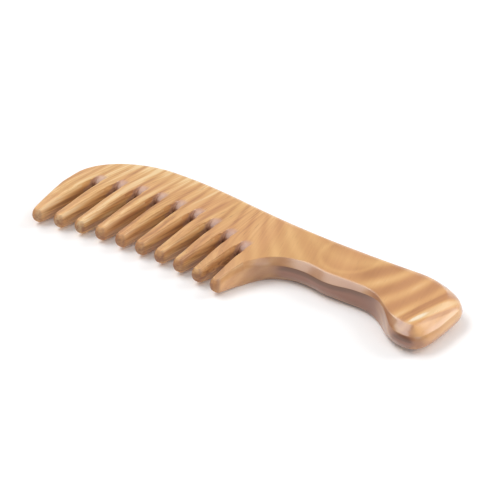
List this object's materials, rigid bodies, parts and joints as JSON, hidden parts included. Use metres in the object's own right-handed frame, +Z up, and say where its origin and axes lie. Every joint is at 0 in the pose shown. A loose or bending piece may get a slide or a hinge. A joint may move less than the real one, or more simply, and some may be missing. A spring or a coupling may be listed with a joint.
{
  "type": "wide-tooth comb",
  "caption": "Flat wooden comb with wide-set blunt teeth under an arched back and a waisted handle with a flared end, for detangling hair.",
  "frame": {"origin": "under the middle of the comb's box, on the surface that the comb lies on", "axes": "+X along the comb from the head to the handle's end, +Y from the tooth tips to the back, +Z up through the thickness"},
  "size_m": [0.1849, 0.0596, 0.0102],
  "materials": {
    "back_wood": "satin waxed",
    "handle_wood": "satin waxed",
    "tooth_wood": "satin waxed"
  },
  "bodies": {
    "root": {"back": "back_wood", "handle": "handle_wood", "tooth_01": "tooth_wood", "tooth_02": "tooth_wood", "tooth_03": "tooth_wood", "tooth_04": "tooth_wood", "tooth_05": "tooth_wood", "tooth_06": "tooth_wood", "tooth_07": "tooth_wood", "tooth_08": "tooth_wood", "tooth_09": "tooth_wood", "tooth_10": "tooth_wood"}
  },
  "joints": []
}
